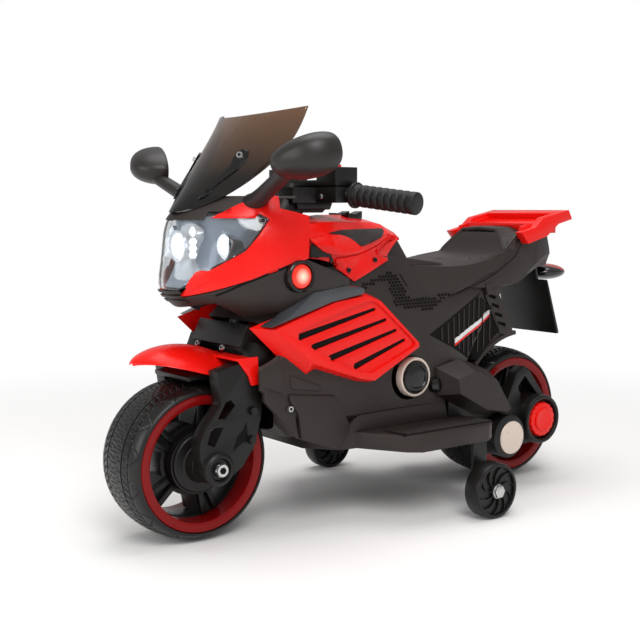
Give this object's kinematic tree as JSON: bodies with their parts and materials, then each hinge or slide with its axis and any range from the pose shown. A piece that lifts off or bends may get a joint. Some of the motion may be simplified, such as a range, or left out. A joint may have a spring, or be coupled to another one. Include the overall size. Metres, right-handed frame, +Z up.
{
  "type": "child's ride-on electric motorbike",
  "caption": "Child's ride-on electric motorbike with a red and black sports fairing, smoked windscreen, steering fork, spoked wheels, geared rear drive and training wheels.",
  "frame": {"origin": "on the ground, under the middle of the bike's length and width", "axes": "+X forwards, +Y to the rider's left, +Z up"},
  "size_m": [0.802, 0.4518, 0.5401],
  "materials": {
    "tyre_plastic": "moulded black tyre",
    "satin_black_plastic": "satin black moulding",
    "dark_red_plastic": "dark red moulding",
    "zinc_steel": "zinc plated steel",
    "red_plastic": "gloss red moulding",
    "silver_plastic": "reflector silver",
    "grip_rubber": "soft black grip",
    "seat_plastic": "leather grained black moulding",
    "black_plastic": "fine grained black moulding",
    "clear_plastic": "clear moulding",
    "indicator_plastic": "orange-red lens",
    "smoked_plastic": "smoked brown sheet",
    "mirror_sheet": "mirror sheet",
    "gear_plastic": "natural white gear plastic",
    "battery_plastic": "dark grey battery case"
  },
  "bodies": {
    "chassis": {"rear_axle": "zinc_steel", "tank_cover": "red_plastic", "seat": "seat_plastic", "tail_cover": "black_plastic", "chassis_left": "black_plastic", "chassis_right": "black_plastic", "headlight_lens": "clear_plastic", "fairing_left": "red_plastic", "fairing_right": "red_plastic", "front_cowl": "black_plastic", "headlight_housing": "black_plastic", "headlight_lamps": "silver_plastic", "indicator_lenses": "indicator_plastic", "windscreen": "smoked_plastic", "mirror_left": "black_plastic", "mirror_right": "black_plastic", "mirror_glasses": "mirror_sheet", "side_panel_left": "red_plastic", "side_panel_right": "red_plastic", "belly_pan": "black_plastic", "engine_caps": "silver_plastic", "rear_arm_left": "black_plastic", "rear_arm_right": "black_plastic", "arm_covers": "black_plastic", "axle_caps": "red_plastic", "motor": "zinc_steel", "gearbox_case": "satin_black_plastic", "stabiliser_brackets": "zinc_steel", "stabiliser_bolts": "zinc_steel", "tail_wing": "red_plastic", "plate_flap": "black_plastic", "tail_lamp": "dark_red_plastic", "rear_hugger": "black_plastic", "battery": "battery_plastic"},
    "steering": {"fork_leg_left": "satin_black_plastic", "fork_leg_right": "satin_black_plastic", "fork_bridge": "satin_black_plastic", "steering_stem": "zinc_steel", "handlebar": "satin_black_plastic", "handlebar_cover": "satin_black_plastic", "grip_left": "grip_rubber", "grip_right": "grip_rubber", "front_fender": "red_plastic", "front_axle": "zinc_steel"},
    "front_wheel": {"front_tyre": "tyre_plastic", "front_rim": "satin_black_plastic", "front_rim_rings": "dark_red_plastic"},
    "rear_wheel": {"rear_tyre": "tyre_plastic", "rear_rim": "satin_black_plastic", "rear_rim_rings": "dark_red_plastic", "drive_gear": "gear_plastic"},
    "idler": {"idler_gear": "gear_plastic"},
    "pinion": {"motor_pinion": "zinc_steel"},
    "stabiliser_left": {"stabiliser_wheel_left": "satin_black_plastic"},
    "stabiliser_right": {"stabiliser_wheel_right": "satin_black_plastic"},
    "throttle": {"throttle_pedal": "satin_black_plastic"},
    "horn": {"horn_button": "red_plastic"},
    "music": {"music_button": "silver_plastic"},
    "power": {"power_switch": "satin_black_plastic"},
    "direction": {"direction_switch": "satin_black_plastic"}
  },
  "joints": [
    {"name": "steering_turn", "type": "hinge", "parent": "chassis", "child": "steering", "pos_m": [0.301, 0, 0.1], "axis": [-0.4384, 0, 0.8988], "range_deg": [-20, 20]},
    {"name": "front_wheel_spin", "type": "hinge", "parent": "steering", "child": "front_wheel", "pos_m": [0.301, 0, 0.1], "axis": [0, 1, 0], "continuous": true},
    {"name": "rear_wheel_spin", "type": "hinge", "parent": "chassis", "child": "rear_wheel", "pos_m": [-0.252, 0, 0.1], "axis": [0, 1, 0], "continuous": true},
    {"name": "idler_spin", "type": "hinge", "parent": "chassis", "child": "idler", "pos_m": [-0.20638, 0, 0.09237], "axis": [0, 1, 0], "continuous": true},
    {"name": "pinion_spin", "type": "hinge", "parent": "chassis", "child": "pinion", "pos_m": [-0.1694, 0, 0.08618], "axis": [0, 1, 0], "continuous": true},
    {"name": "stabiliser_left_spin", "type": "hinge", "parent": "chassis", "child": "stabiliser_left", "pos_m": [-0.066, 0.181, 0.038], "axis": [0, 1, 0], "continuous": true},
    {"name": "stabiliser_right_spin", "type": "hinge", "parent": "chassis", "child": "stabiliser_right", "pos_m": [-0.066, -0.181, 0.038], "axis": [0, 1, 0], "continuous": true},
    {"name": "throttle_press", "type": "hinge", "parent": "chassis", "child": "throttle", "pos_m": [-0.034, -0.125, 0.127], "axis": [0, 1, 0], "range_deg": [0, 7], "stiffness_Nm_per_rad": 1, "springref_deg": -2.86},
    {"name": "horn_press", "type": "slide", "parent": "steering", "child": "horn", "axis": [0, 0, -1], "range_m": [0, 0.002], "stiffness_N_per_m": 200, "springref_m": -0.001},
    {"name": "music_press", "type": "slide", "parent": "steering", "child": "music", "axis": [0, 0, -1], "range_m": [0, 0.002], "stiffness_N_per_m": 200, "springref_m": -0.001},
    {"name": "power_rock", "type": "hinge", "parent": "chassis", "child": "power", "pos_m": [0.042, 0.014, 0.398], "axis": [0, 1, 0], "range_deg": [-7, 7]},
    {"name": "direction_rock", "type": "hinge", "parent": "chassis", "child": "direction", "pos_m": [0.042, -0.014, 0.398], "axis": [0, 1, 0], "range_deg": [-7, 7]}
  ],
  "couplings": [
    {"joint": "idler_spin", "follows": "rear_wheel_spin", "ratio": -4.2857},
    {"joint": "pinion_spin", "follows": "rear_wheel_spin", "ratio": 15.495}
  ]
}
